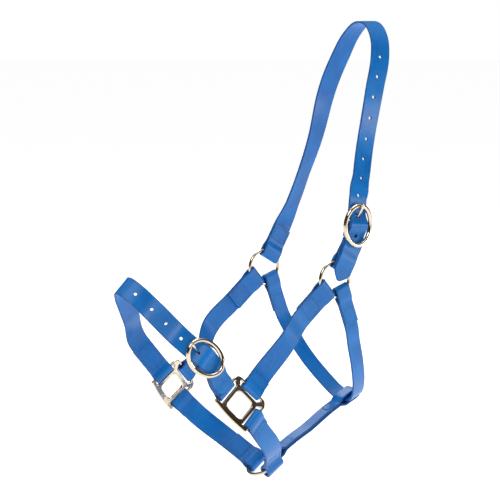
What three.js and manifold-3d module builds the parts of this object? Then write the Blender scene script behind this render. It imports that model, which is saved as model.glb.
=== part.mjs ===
// Horse head halter: coated straps folded and stitched round cast and welded metal fittings.
// Millimetres, +Z up. The origin is on the mid-plane at the underside of the crown, where the halter rests
// on the poll. -X is towards the nose, -Y is the near (left) side of the horse, which carries both buckles.
import * as THREE from "three";
import { mergeVertices } from "three/addons/utils/BufferGeometryUtils.js";
import Module from "manifold-3d";

// Strap stock
const WIDE = 25; // crown, cheeks, noseband and chin
const NARROW = 19; // throat and jaw
const THICK = 2.4;
const PLY_GAP = 0.3; // between two stitched layers
const PLY = (THICK + PLY_GAP) / 2; // a layer's distance from the middle of a stitched pair
const HOLE_PITCH = 25;
const HOLE_RADIUS = 1.9;

// Layout of the head
const NEAR = -1; // the sides, along Y
const FAR = 1;
const HALF_WIDTH = 72;
const RING_X = -98;
const RING_Z = -294;
const CHEEK_LENGTH = 187; // upper ring centre to halter square centre
const HEAD_ANGLE = 45; // the line of the face above the horizontal, in degrees
const CHIN_X = -148;
const CHIN_Z = -516;
const CHIN_ANGLE = 33; // slope of the chin ring's plane
const THROAT_X = -25;
const THROAT_Z = -448;
const JAW_ANGLE = 26; // slope of the jaw strap

// Fittings
const WIRE = 2.1; // ring wire radius
const RING_RADIUS = 20.3; // to the middle of the wire
const SQUARE_THICK = 3.8;
const SQUARE_HALF = 25.5;
const SQUARE_WINDOW = 12.2; // half of the window
const SQUARE_BAND = 4.9; // between the window and a slot
const SQUARE_BAR = 23.9; // window centre to the middle of an outer bar
const SQUARE_LEAN = 14; // the squares lean in towards the nose
const SQUARE_TURN = -4;
const FRAME_LONG = 22.9; // buckle frame half axes, to the middle of the wire
const FRAME_SHORT = 17.5;
const FRAME_WIRE = 2.6;
const FRAME_RISE = 2; // of the frame's two ends
const BAR_DROP = 3.5; // the centre bar lies behind the frame
const BAR_RADIUS = 2;
const TONGUE_RADIUS = 1.7;
const THREAD = 0.7;
const STITCH_INSET = 3; // of a seam from the strap's edges

const wasm = await Module();
wasm.setup();

const vec = (x, y, z) => new THREE.Vector3(x, y, z);
const turn = (degrees) => (degrees * Math.PI) / 180;
const inSide = (degrees) => vec(Math.cos(turn(degrees)), 0, Math.sin(turn(degrees)));

function mix(start, ...moves) {
  return moves.reduce((sum, [direction, by]) => sum.addScaledVector(direction, by), start.clone());
}

const squaredTo = (v, axis) => mix(v, [axis, -v.dot(axis)]).normalize();

// ---------- solids ----------

function solidOf(geometry) {
  const bare = (geometry.index ? geometry.toNonIndexed() : geometry.clone()).deleteAttribute("normal");
  const merged = mergeVertices(bare.deleteAttribute("uv"), 1e-4);
  const triVerts = new Uint32Array(merged.index.array);
  const vertProperties = new Float32Array(merged.attributes.position.array);
  return new wasm.Manifold(new wasm.Mesh({ numProp: 3, vertProperties, triVerts }));
}

function geometryOf(solid) {
  const mesh = solid.getMesh();
  const geometry = new THREE.BufferGeometry();
  geometry.setAttribute("position", new THREE.BufferAttribute(new Float32Array(mesh.vertProperties), 3));
  geometry.setIndex(new THREE.BufferAttribute(new Uint32Array(mesh.triVerts), 1));
  geometry.computeVertexNormals();
  return geometry;
}

const cut = (body, tools) => tools.reduce((left, tool) => left.subtract(solidOf(tool)), body);

// ---------- straps ----------
// A strap is a list of stations { at, across, width }: the middle of the strap, the direction of its width,
// and its width where that differs from the whole strap's.

function framed(stations) {
  return stations.map((s, i) => {
    const ahead = stations[Math.min(i + 1, stations.length - 1)].at;
    const behind = stations[Math.max(i - 1, 0)].at;
    const along = ahead.clone().sub(behind).normalize();
    const across = s.across.clone().addScaledVector(along, -s.across.dot(along)).normalize();
    return { ...s, along, across, face: along.clone().cross(across) };
  });
}

function strapGeometry(stations, width, thick = THICK) {
  const corners = [];
  for (const s of framed(stations)) {
    const half = (s.width ?? width) / 2;
    for (const [a, f] of [[1, 1], [-1, 1], [-1, -1], [1, -1]]) {
      corners.push(...mix(s.at, [s.across, a * half], [s.face, (f * thick) / 2]).toArray());
    }
  }
  const faces = [];
  const last = (stations.length - 1) * 4;
  for (let i = 0; i < last; i += 4) {
    for (let k = 0; k < 4; k++) {
      const next = (k + 1) % 4;
      faces.push(i + k, i + 4 + k, i + next, i + next, i + 4 + k, i + 4 + next);
    }
  }
  faces.push(0, 1, 2, 0, 2, 3, last, last + 2, last + 1, last, last + 3, last + 2);
  const geometry = new THREE.BufferGeometry();
  geometry.setAttribute("position", new THREE.Float32BufferAttribute(corners, 3));
  geometry.setIndex(faces);
  return facingOut(geometry);
}

// Turns every triangle round if the closed surface encloses a negative volume.
function facingOut(geometry) {
  const index = geometry.index.array;
  const p = geometry.attributes.position;
  const [a, b, c] = [vec(0, 0, 0), vec(0, 0, 0), vec(0, 0, 0)];
  let volume = 0;
  for (let i = 0; i < index.length; i += 3) {
    a.fromBufferAttribute(p, index[i]);
    b.fromBufferAttribute(p, index[i + 1]);
    c.fromBufferAttribute(p, index[i + 2]);
    volume += a.dot(b.cross(c));
  }
  if (volume < 0) {
    for (let i = 0; i < index.length; i += 3) [index[i + 1], index[i + 2]] = [index[i + 2], index[i + 1]];
  }
  geometry.computeVertexNormals();
  return geometry;
}

// The folded end of a strap round a bar or a ring's wire: from the tip of its turned-back tail, round the
// bar, and back to beside that tip. away points from the bar into the strap, tailFace to the tail's side.
function foldedEnd({ bar, away, across, tailFace, radius, pocket = 1, tail, settle = 9 }) {
  const stations = [];
  const add = (out, side) => stations.push({ at: mix(bar, [away, out], [tailFace, side]), across });
  const join = pocket + settle;
  const opening = [0.15, 0.5, 0.85].map((t) => {
    return [join - settle * t, PLY + ((radius - PLY) * (1 - Math.cos(Math.PI * t))) / 2];
  });
  add(tail, PLY);
  add(join, PLY);
  for (const [out, side] of opening) add(out, side);
  add(pocket, radius);
  const steps = 8;
  for (let i = 0; i <= steps; i++) {
    const angle = (Math.PI * i) / steps;
    add(-radius * Math.sin(angle), radius * Math.cos(angle));
  }
  add(pocket, -radius);
  for (const [out, side] of opening.toReversed()) add(out, -side);
  add(join, -PLY);
  add(tail, -PLY);
  return stations;
}

// Joins two ends, each listed from its tip, by smooth bends through a few { at, across } stations. Both ends
// are left straight on.
function joined(start, through, end, steps) {
  const knots = [start.at(-1), ...through, end.at(-1)];
  const last = knots.length - 1;
  const towards = (a, b) => b.at.clone().sub(a.at).normalize();
  const heading = knots.map((knot, i) => {
    if (i === 0) return towards(start.at(-2), knot);
    return i === last ? towards(knot, end.at(-2)) : towards(knots[i - 1], knots[i + 1]);
  });
  const total = lengthOf(knots);
  const run = [];
  for (let i = 0; i < last; i++) {
    const [a, b] = [knots[i], knots[i + 1]];
    const reach = 0.38 * a.at.distanceTo(b.at);
    const handles = [mix(a.at, [heading[i], reach]), mix(b.at, [heading[i + 1], -reach])];
    const bend = new THREE.CubicBezierCurve3(a.at, ...handles, b.at);
    const count = Math.max(1, Math.round((steps * a.at.distanceTo(b.at)) / total));
    for (let k = 1; k <= count; k++) {
      run.push({ at: bend.getPoint(k / count), across: a.across.clone().lerp(b.across, k / count) });
    }
  }
  return [...start, ...run.slice(0, -1), ...end.toReversed()];
}

// The station at a distance along the middle of a strap.
function stationAt(stations, distance) {
  const list = framed(stations);
  let left = distance;
  for (let i = 1; i < list.length; i++) {
    const step = list[i].at.distanceTo(list[i - 1].at);
    if (left <= step) {
      const t = left / step;
      const between = (key) => list[i - 1][key].clone().lerp(list[i][key], t);
      return { at: between("at"), across: between("across"), face: between("face").normalize() };
    }
    left -= step;
  }
  throw new Error("the strap is shorter than " + distance);
}

function lengthOf(stations) {
  return stations.slice(1).reduce((sum, s, i) => sum + s.at.distanceTo(stations[i].at), 0);
}

function punch(station) {
  const pin = new THREE.CylinderGeometry(HOLE_RADIUS, HOLE_RADIUS, 4 * THICK, 10);
  pin.applyQuaternion(new THREE.Quaternion().setFromUnitVectors(vec(0, 1, 0), station.face));
  return pin.translate(...station.at.toArray());
}

// One closed loop of thread: a flat rectangular outline lying on a strap's face.
function boxStitch({ at, along, across, face, length, width }) {
  const outline = new THREE.Shape();
  const [l, w] = [length / 2, width / 2];
  outline.moveTo(-l, -w).lineTo(l, -w).lineTo(l, w).lineTo(-l, w).closePath();
  const inner = new THREE.Path();
  inner.moveTo(-l + THREAD, -w + THREAD).lineTo(-l + THREAD, w - THREAD);
  inner.lineTo(l - THREAD, w - THREAD).lineTo(l - THREAD, -w + THREAD).closePath();
  outline.holes.push(inner);
  const loop = new THREE.ExtrudeGeometry(outline, { depth: THREAD / 2, bevelEnabled: false });
  const basis = new THREE.Matrix4().makeBasis(along, face.clone().cross(along), face);
  basis.setPosition(mix(at, [face, THICK / 2 + PLY_GAP]));
  loop.applyMatrix4(basis);
  return loop;
}

// ---------- metal fittings ----------

// A welded ring whose section has flat sides, with its axis along the given direction.
function ringGeometry(centre, axis) {
  const sides = 8;
  const profile = [];
  for (let i = 0; i <= sides; i++) {
    const angle = (2 * Math.PI * (i + 0.5)) / sides;
    profile.push(new THREE.Vector2(RING_RADIUS + WIRE * Math.cos(angle), WIRE * Math.sin(angle)));
  }
  const ring = new THREE.LatheGeometry(profile, 40);
  ring.applyQuaternion(new THREE.Quaternion().setFromUnitVectors(vec(0, 1, 0), axis));
  return ring.translate(...centre.toArray());
}

// The halter square: a window in the middle, a slot and an outer bar on the cheek (+x), nose (+y) and
// chin (-y) sides, and a plain curved bar on the side that faces the lips (-x).
function squareOutline() {
  const half = SQUARE_HALF;
  const lip = 16;
  const corner = 9;
  const outline = new THREE.Shape();
  outline.moveTo(-lip, -half - 0.5).lineTo(half - corner, -half);
  outline.quadraticCurveTo(half, -half, half, -half + corner);
  outline.lineTo(half, half - corner);
  outline.quadraticCurveTo(half, half, half - corner, half);
  outline.lineTo(-lip, half + 0.5);
  outline.quadraticCurveTo(-lip - 3, half, -lip - 2.6, half - 5);
  outline.quadraticCurveTo(-lip - 5, 0, -lip - 2.6, -half + 5);
  outline.quadraticCurveTo(-lip - 3, -half, -lip, -half - 0.5);
  return outline;
}

// A slot, open towards the corners of the casting. quarter counts turns from the cheek side.
function squareSlot(quarter) {
  const [near, far] = [SQUARE_WINDOW + SQUARE_BAND, SQUARE_BAR - 1.6];
  const [short, long] = [WIDE / 2 + 1, WIDE / 2 + 4.6];
  const square = quarter === 0 ? [-short, -long] : [-short, -short];
  const corners = [[near, square[0]], [far, square[1]], [far, long], [near, short]];
  const slot = new THREE.Path();
  slot.setFromPoints(corners.map(([out, along]) => {
    return quarter === 0 ? new THREE.Vector2(out, along) : new THREE.Vector2(along, quarter * out);
  }));
  return slot.closePath();
}

function squareWindow() {
  const half = SQUARE_WINDOW;
  const flat = half - 6;
  const pane = new THREE.Path();
  pane.moveTo(-flat, -half).lineTo(flat, -half).quadraticCurveTo(half, -half, half, -flat);
  pane.lineTo(half, flat).quadraticCurveTo(half, half, flat, half);
  pane.lineTo(-flat, half).quadraticCurveTo(-half, half, -half, flat);
  pane.lineTo(-half, -flat).quadraticCurveTo(-half, -half, -flat, -half);
  return pane;
}

function squareGeometry(frame) {
  const outline = squareOutline();
  outline.holes.push(squareWindow(), squareSlot(0), squareSlot(1), squareSlot(-1));
  const bevel = 0.6;
  const cast = new THREE.ExtrudeGeometry(outline, {
    depth: SQUARE_THICK - 2 * bevel,
    bevelThickness: bevel,
    bevelSize: bevel,
    bevelOffset: -bevel,
    bevelSegments: 1,
    curveSegments: 5,
  });
  cast.translate(0, 0, -SQUARE_THICK / 2 + bevel);
  const through = frame.cheek.clone().cross(frame.nose);
  const basis = new THREE.Matrix4().makeBasis(frame.cheek, frame.nose, through);
  return facingOut(mergedIndex(cast.applyMatrix4(basis).translate(...frame.centre.toArray())));
}

function mergedIndex(geometry) {
  return mergeVertices(geometry.deleteAttribute("normal").deleteAttribute("uv"), 1e-4);
}

// A buckle frame: an oval of wire that dips at its middle to carry the centre bar. x is across the strap, y
// along it towards the holes, z out of the buckle's face.
function buckleFrame(place) {
  const oval = new THREE.Curve();
  oval.getPoint = (t, target = new THREE.Vector3()) => {
    const angle = 2 * Math.PI * t;
    const y = FRAME_LONG * Math.cos(angle);
    const dip = Math.max(0, 1 - Math.abs(y) / 9);
    const z = FRAME_RISE * (y / FRAME_LONG) ** 2 - 2.5 * dip * dip;
    return target.set(FRAME_SHORT * Math.sin(angle), y, z);
  };
  const wire = new THREE.TubeGeometry(oval, 44, FRAME_WIRE, 8, true);
  const bar = new THREE.CylinderGeometry(BAR_RADIUS, BAR_RADIUS, 2 * FRAME_SHORT, 12);
  bar.rotateZ(Math.PI / 2).translate(0, 0, -BAR_DROP);
  return geometryOf(solidOf(wire).add(solidOf(bar))).applyMatrix4(place);
}

// The tongue's line from its eye to the frame's far end, in the buckle's y and z.
const TONGUE_LINE = [[3.2, -3.2], [9, -2.4], [16.5, 3.2], [22.5, 7.25], [25.4, 7.8]];

function tongueShank(radius) {
  const section = new THREE.Shape().absarc(0, 0, radius, 0, 2 * Math.PI);
  const line = new THREE.CatmullRomCurve3(TONGUE_LINE.map(([y, z]) => vec(0, y, z)));
  return new THREE.ExtrudeGeometry(section, { steps: 14, curveSegments: 4, extrudePath: line });
}

function buckleTongue(place) {
  const half = 2.2;
  const [inner, outer] = [BAR_RADIUS + 0.3, BAR_RADIUS + 1.9];
  const profile = [[inner, -half], [outer, -half], [outer, half], [inner, half], [inner, -half]];
  const eye = new THREE.LatheGeometry(profile.map(([x, y]) => new THREE.Vector2(x, y)), 20);
  const bore = new THREE.CylinderGeometry(inner, inner, 4 * half, 20);
  for (const round of [eye, bore]) round.rotateZ(Math.PI / 2).translate(0, 0, -BAR_DROP);
  const whole = solidOf(eye).add(solidOf(tongueShank(TONGUE_RADIUS)));
  return geometryOf(whole.subtract(solidOf(bore))).applyMatrix4(place);
}

// Room for the tongue in the billet, over the whole of its travel about the bar.
function tongueRoom(place) {
  return [-4, 0, 4, 8].map((degrees) => {
    const room = tongueShank(TONGUE_RADIUS + 0.5).translate(0, 0, BAR_DROP);
    return room.rotateX(turn(degrees)).translate(0, 0, -BAR_DROP).applyMatrix4(place);
  });
}

// The height of a layer that humps over the bar, from its top at y = 0 to its low level at y = +-half.
function hump(y, top, low, half) {
  const share = Math.abs(y) >= half ? 0 : (1 + Math.cos((Math.PI * y) / half)) / 2;
  return low + (top - low) * share;
}

const BILLET_TOP = 2.8;
const BILLET_LOW = -4;
const billetHeight = (y) => hump(y, BILLET_TOP, BILLET_LOW, 15);
const WRAP = BAR_RADIUS + 0.35 + THICK / 2; // middle of the chape's layer round the bar
const CHAPE_LOW = -6.85 - PLY_GAP; // the chape's front layer below the billet
const CHAPE_MIDDLE = CHAPE_LOW - PLY;

// The chape: one strip round the bar and round the fitting below. Its front and back layers run side by side
// between them, and its two ends butt together behind, just below the bar.
function chapeStations(place, across, foot) {
  const back = CHAPE_LOW - 2 * PLY;
  const seat = (levels) => levels.map(([y, z]) => ({ at: vec(0, y, z).applyMatrix4(place), across }));
  const levels = [[-13.6, back], [-12, back]];
  for (const y of [-10, -8, -6, -4, -2]) levels.push([y, hump(y, -BAR_DROP - WRAP, back, 12)]);
  for (let i = 8; i >= 0; i--) {
    const angle = (Math.PI * i) / 8;
    levels.push([WRAP * Math.sin(angle), -BAR_DROP + WRAP * Math.cos(angle)]);
  }
  for (const y of [-2, -4, -6, -8, -10]) levels.push([y, hump(y, WRAP - BAR_DROP, CHAPE_LOW, 12)]);
  levels.push([-12, CHAPE_LOW], [-13.6, CHAPE_LOW]);
  const settled = foot.pocket + foot.settle;
  const top = seat(levels);
  const front = joined(top, [], foldedEnd({ ...foot, tail: settled + 2 }), 8);
  const run = framed(front).slice(top.length + 1, top.length + 7).toReversed();
  const behind = run.map((s) => ({ at: mix(s.at, [s.face, -2 * PLY]), across: s.across }));
  return [...front, ...behind, ...seat([[-17.2, back], [-14.1, back]])];
}

// The chape's slot for the tongue's eye.
function tongueSlot(place) {
  return new THREE.BoxGeometry(5.6, 16, 18).translate(0, 0.5, -BAR_DROP).applyMatrix4(place);
}

// ---------- layout ----------

const faceLine = inSide(HEAD_ANGLE);
const ringCentre = (side) => vec(RING_X, side * HALF_WIDTH, RING_Z);
const squareCentre = (side) => mix(ringCentre(side), [faceLine, -CHEEK_LENGTH]);

function squareFrame(side) {
  const out = vec(0, side, 0);
  const lean = turn(SQUARE_LEAN);
  const upright = inSide(HEAD_ANGLE + SQUARE_TURN + 90);
  const nose = mix(vec(0, 0, 0), [upright, Math.cos(lean)], [out, -Math.sin(lean)]);
  const cheek = squaredTo(mix(inSide(HEAD_ANGLE + SQUARE_TURN), [out, -0.09]), nose);
  return { centre: squareCentre(side), cheek, nose, out };
}

const barFold = 3.75; // middle of a strap's layer round a square's outer bar
const wireFold = WIRE + 0.35 + THICK / 2;

// The distance from a ring's centre to the middle of the fold of a strap of a given width.
const foldReach = (width) => Math.sqrt((RING_RADIUS - WIRE) ** 2 - (width / 2) ** 2) + WIRE;
const ringPocket = (width) => RING_RADIUS + WIRE - foldReach(width) + 1;

// A fold round a ring. shift moves the strap sideways, off the line through the ring's centre.
function ringEnd({ centre, away, across, tailFace, width, tail, radius = wireFold, shift = 0 }) {
  const reach = width + 2 * Math.abs(shift);
  const bar = mix(centre, [away, foldReach(reach)], [across, shift]);
  return foldedEnd({ bar, away, across, tailFace, radius, pocket: ringPocket(reach), tail });
}

// ---------- parts ----------

const halter = new THREE.Group();
const strapBlue = new THREE.MeshStandardMaterial({ color: 0x1f66b8, roughness: 0.38, metalness: 0 });
const threadBlue = new THREE.MeshStandardMaterial({ color: 0x1b5aa6, roughness: 0.7, metalness: 0 });
const brass = new THREE.MeshStandardMaterial({ color: 0xd8c8a4, roughness: 0.18, metalness: 1 });

function addPart(name, geometry, material) {
  const mesh = new THREE.Mesh(geometry, material);
  mesh.name = name;
  halter.add(mesh);
}

const addStrap = (name, stations, width) => addPart(name, strapGeometry(stations, width), strapBlue);

// Thread on the tail's face of a folded end: between the pocket and the tip of the tail.
function addStitch(name, { bar, away, across, tailFace, from, to, width }) {
  const at = mix(bar, [away, (from + to) / 2], [tailFace, PLY]);
  const size = { length: to - from, width: width - 2 * STITCH_INSET };
  addPart(name, boxStitch({ at, along: away, across, face: tailFace, ...size }), threadBlue);
}

// Upper rings
addPart("near_upper_ring", ringGeometry(ringCentre(NEAR), vec(0, 1, 0)), brass);
addPart("far_upper_ring", ringGeometry(ringCentre(FAR), vec(0, 1, 0)), brass);

// Halter squares
addPart("near_halter_square", squareGeometry(squareFrame(NEAR)), brass);
addPart("far_halter_square", squareGeometry(squareFrame(FAR)), brass);

// Cheek straps: upper tail inside, lower tail outside. Each bows a little outwards and towards the nose.
const CHEEK_AT_RING = -139.5;
const CHEEK_SKEW = 4; // of the strap across the square's bar
function cheekStrap(side, name) {
  const square = squareFrame(side);
  const ring = ringCentre(side);
  const upper = { away: inSide(CHEEK_AT_RING), across: inSide(CHEEK_AT_RING - 90), width: WIDE };
  upper.tailFace = square.out.clone().negate();
  const [cos, sin] = [Math.cos(turn(CHEEK_SKEW)), Math.sin(turn(CHEEK_SKEW))];
  const away = mix(vec(0, 0, 0), [square.cheek, cos], [square.nose, sin]);
  const across = mix(vec(0, 0, 0), [square.nose, cos], [square.cheek, -sin]);
  const tailFace = squaredTo(mix(square.out, [away, -away.dot(square.out)]), across);
  const hook = mix(square.centre, [square.cheek, SQUARE_BAR], [away, -0.5]);
  const lower = { bar: hook, away, across, tailFace, radius: barFold + 0.15, pocket: 2, tail: 19 };
  const middle = mix(ring, [faceLine, CHEEK_LENGTH * -0.52], [inSide(135), 4.5], [square.out, 7]);
  const top = ringEnd({ ...upper, centre: ring, tail: 44 });
  addStrap(name, joined(top, [{ at: middle, across: inSide(135) }], foldedEnd(lower), 16), WIDE);
  const bar = mix(ring, [upper.away, foldReach(WIDE)]);
  addStitch(name + "_ring_stitch", { ...upper, bar, from: 22, to: 41 });
}
cheekStrap(NEAR, "near_cheek_strap");
cheekStrap(FAR, "far_cheek_strap");

// Throat strap: one strap from ring to ring under the jaw, flat across the middle where the jaw strap rides.
const THROAT_AT_RING = -70;
const THROAT_SHIFT = 4.6; // towards the poll, clear of the cheek strap
const jawDirection = inSide(JAW_ANGLE);
function throatEnd(side) {
  return {
    centre: ringCentre(side),
    away: inSide(THROAT_AT_RING),
    across: inSide(THROAT_AT_RING + 90),
    tailFace: vec(0, side, 0),
    width: NARROW,
    tail: 44,
    shift: THROAT_SHIFT,
  };
}
const throatSide = (side) => [
  { at: vec(-64, side * 64, -372), across: jawDirection },
  { at: vec(-50, side * 53, -402), across: jawDirection },
  { at: vec(-34, side * 34, -431), across: jawDirection },
  { at: vec(THROAT_X - 0.2, side * 15, THROAT_Z + 0.4), across: jawDirection },
];
const throatMiddle = { at: vec(THROAT_X, 0, THROAT_Z), across: jawDirection };
const throatRun = [...throatSide(NEAR), throatMiddle, ...throatSide(FAR).toReversed()];
const throatStations = joined(ringEnd(throatEnd(NEAR)), throatRun, ringEnd(throatEnd(FAR)), 56);
addStrap("throat_strap", throatStations, NARROW);
for (const [side, name] of [[NEAR, "near"], [FAR, "far"]]) {
  const end = throatEnd(side);
  const reach = foldReach(NARROW + 2 * THROAT_SHIFT);
  const bar = mix(end.centre, [end.away, reach], [end.across, THROAT_SHIFT]);
  addStitch(name + "_throat_stitch", { ...end, bar, from: 25, to: 42 });
}

// Chin ring, flat under the chin, its axis square to the face line.
const chinCentre = vec(CHIN_X, 0, CHIN_Z);
const chinSlope = inSide(CHIN_ANGLE);
const chinAxis = inSide(CHIN_ANGLE - 90);
addPart("chin_ring", ringGeometry(chinCentre, chinAxis), brass);

// Chin straps: from the lower bar of each square to the side of the chin ring, bowed outwards.
function chinStrap(side, name) {
  const square = squareFrame(side);
  const bar = mix(square.centre, [square.nose, -SQUARE_BAR]);
  const wire = mix(chinCentre, [square.out, RING_RADIUS - 2.15]);
  const chord = wire.clone().sub(bar).normalize();
  const away = mix(chord, [square.out, 0.3]).normalize();
  const across = squaredTo(square.cheek, away);
  const tailFace = away.clone().cross(across).normalize();
  if (tailFace.y * side < 0) tailFace.negate();
  const hook = mix(bar, [away, -0.7]);
  const upper = { bar: hook, away, across, tailFace, radius: barFold + 0.25, pocket: 2.4, tail: 20 };
  const homeward = mix(chord.clone().negate(), [square.out, 0.3]);
  const back = mix(homeward, [chinSlope, -0.4 * homeward.dot(chinSlope)]).normalize();
  const slope = squaredTo(chinSlope, back);
  const inner = back.clone().cross(slope).normalize();
  if (inner.y * side > 0) inner.negate();
  const turned = { away: back, across: slope, tailFace: inner };
  const loop = mix(wire, [back, -1.5], [inner, 0.2]);
  const lower = { bar: loop, ...turned, radius: 6.2, pocket: 4.5, tail: 38 };
  addStrap(name, joined(foldedEnd(upper), [], foldedEnd(lower), 12), WIDE);
  addStitch(name + "_stitch", { ...lower, from: 15, to: 35, width: WIDE });
}
chinStrap(NEAR, "near_chin_strap");
chinStrap(FAR, "far_chin_strap");

// Jaw strap: one strip doubled from end to end, round the chin ring below and, as a flat open loop, round
// the throat strap above.
function jawStrap() {
  const across = vec(0, 1, 0);
  const away = inSide(CHIN_ANGLE - 3);
  const under = inSide(CHIN_ANGLE - 93);
  const hold = { centre: chinCentre, away, across, width: NARROW, tailFace: under };
  const foot = ringEnd({ ...hold, tail: 30, radius: wireFold + 0.9 });
  const bar = mix(throatMiddle.at, [jawDirection, NARROW / 2 - 2.2]);
  const back = jawDirection.clone().negate();
  const below = inSide(JAW_ANGLE - 90);
  const loop = { radius: 4.9, pocket: NARROW - 1, tail: 30 };
  const head = foldedEnd({ bar, away: back, across, tailFace: below, ...loop });
  const half = chinCentre.clone().lerp(throatMiddle.at, 0.5);
  const layer = (offset) => [{ at: mix(half, [below, offset]), across }];
  const butt = [0.5, 3].map((by) => ({ at: mix(foot[0].at, [away, by]), across }));
  addStrap("jaw_strap", joined(joined(foot, layer(-PLY), head, 8), layer(PLY), butt, 8), NARROW);
  const wire = mix(chinCentre, [away, foldReach(NARROW)]);
  addStitch("jaw_strap_stitch", { ...hold, bar: wire, from: 16, to: 28 });
}
jawStrap();

// A buckle's own frame: y along the strap towards the holes, z out of its face.
function buckleAt(centre, away, outward) {
  const across = away.clone().cross(outward).normalize();
  return new THREE.Matrix4().makeBasis(across, away, across.clone().cross(away)).setPosition(centre);
}

// A billet from its tip, over the chape and the bar, to where it has left the buckle.
function billetEnd(place, across, tip) {
  const levels = [-16, -15, -13, -10, -8, -6, -4, -2, 0, 2, 4, 6, 8, 10, 12, 15, 20, 27];
  const seat = levels.map((y) => ({ at: vec(0, y, billetHeight(y)).applyMatrix4(place), across }));
  return joined(tip, [], seat.toReversed(), 6);
}

// The free end's stations over the chape's foot, from [distance from the foot, lift, share of the width].
function billetTip({ bar, away, across, tailFace }, steps) {
  return steps.map(([out, lift, share]) => {
    return { at: mix(bar, [away, out], [tailFace, -lift]), across, width: WIDE * share };
  });
}

function addBuckle(name, place, foot, across) {
  addPart(name + "_buckle_frame", buckleFrame(place), brass);
  addPart(name + "_buckle_tongue", buckleTongue(place), brass);
  const chape = cut(solidOf(strapGeometry(chapeStations(place, across, foot), WIDE)), [tongueSlot(place)]);
  addPart(name + "_chape", geometryOf(chape), strapBlue);
}

const ENGAGED_FROM_END = 17.5; // from a billet end's last station back to the tongue's hole

// A billet with holes at equal steps from the one the tongue is in: count towards the strap's far end, and
// below towards its tip.
function addBillet(name, place, tipEnd, others, count, below) {
  const tools = tongueRoom(place);
  const engaged = lengthOf(tipEnd) - ENGAGED_FROM_END;
  const stations = joined(others[0], others[1], tipEnd, others[2]).toReversed();
  for (let i = -below; i <= count; i++) {
    if (i !== 0) tools.push(punch(stationAt(stations, engaged + i * HOLE_PITCH)));
  }
  addPart(name, geometryOf(cut(solidOf(strapGeometry(stations, WIDE)), tools)), strapBlue);
}

// Crown: chape and buckle on the near ring, and the long strap over the poll to the far ring.
const CROWN_AT_RING = 60;
const CROWN_AT_BUCKLE = 85;
const CROWN_SEAT = [26.5, 62]; // the buckle's place above the near ring, along X and Z
function crown() {
  const away = inSide(CROWN_AT_RING);
  const across = inSide(CROWN_AT_RING - 90);
  const outward = vec(0, NEAR, 0);
  const ring = ringCentre(NEAR);
  const centre = vec(RING_X + CROWN_SEAT[0], NEAR * HALF_WIDTH, RING_Z + CROWN_SEAT[1]);
  centre.addScaledVector(outward, -CHAPE_MIDDLE);
  const place = buckleAt(centre, inSide(CROWN_AT_BUCKLE), outward);
  const seatAcross = inSide(CROWN_AT_BUCKLE - 90);
  const bar = mix(ring, [away, foldReach(WIDE)]);
  const foot = { bar, away, across, tailFace: outward.clone().negate(), radius: wireFold + 0.3 };
  addBuckle("crown", place, { ...foot, pocket: ringPocket(WIDE), settle: 7 }, seatAcross);
  addStitch("crown_chape_stitch", { ...foot, from: 19, to: 31, width: WIDE });

  const point = [[-16, 6.9, 0.12], [-12, 6.9, 0.5], [-7.5, 6.9, 0.86], [-3, 6.9, 1]];
  const tip = billetTip(foot, [...point, [6, 6.9, 1], [13, 6.6, 1], [20, 5.3, 1]]);
  const farFace = vec(0, -1, 0);
  const end = { centre: ringCentre(FAR), away, across, tailFace: farFace, width: WIDE, tail: 38 };
  const yawed = ([x, y, z, yaw]) => {
    return { at: vec(x, y, z), across: vec(Math.cos(turn(yaw)), Math.sin(turn(yaw)), 0) };
  };
  const over = [
    [-60, 66.5, -218, 14],
    [-50, 57, -180, 18],
    [-38, 50, -138, 10],
    [-23, 46.5, -80, -4],
    [-8, 38, -37, -8],
    [-1, 22, -9, -4],
    [0, 0, THICK / 2, 0],
    [-1, -22, -9, -2],
    [-8, -38, -37, -4],
    [-23, -46.5, -80, -2],
    [-39, -51, -140, 4],
    [-56, -65, -181, 8],
  ];
  const billet = billetEnd(place, seatAcross, tip);
  addBillet("crown_strap", place, billet, [ringEnd(end), over.map(yawed), 78], 8, 1);
  const farBar = mix(end.centre, [away, foldReach(WIDE)]);
  addStitch("crown_strap_stitch", { ...end, bar: farBar, from: 20, to: 35 });
}
crown();

// Noseband: chape and buckle on the near square, and the strap over the nose to the far square.
const NOSE_BUCKLE = [-278, -76, -367.4];
const NOSE_BUCKLE_AXIS = [-0.734, 0.161, 0.66];
function noseFoot(side) {
  const square = squareFrame(side);
  const away = squaredTo(vec(-0.62, side * 0.03, 0.78), square.cheek);
  const outward = away.clone().cross(square.cheek);
  if (outward.y * side < 0) outward.negate();
  const bar = mix(square.centre, [square.nose, SQUARE_BAR]);
  return { bar, away, across: square.cheek, outward };
}

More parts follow.
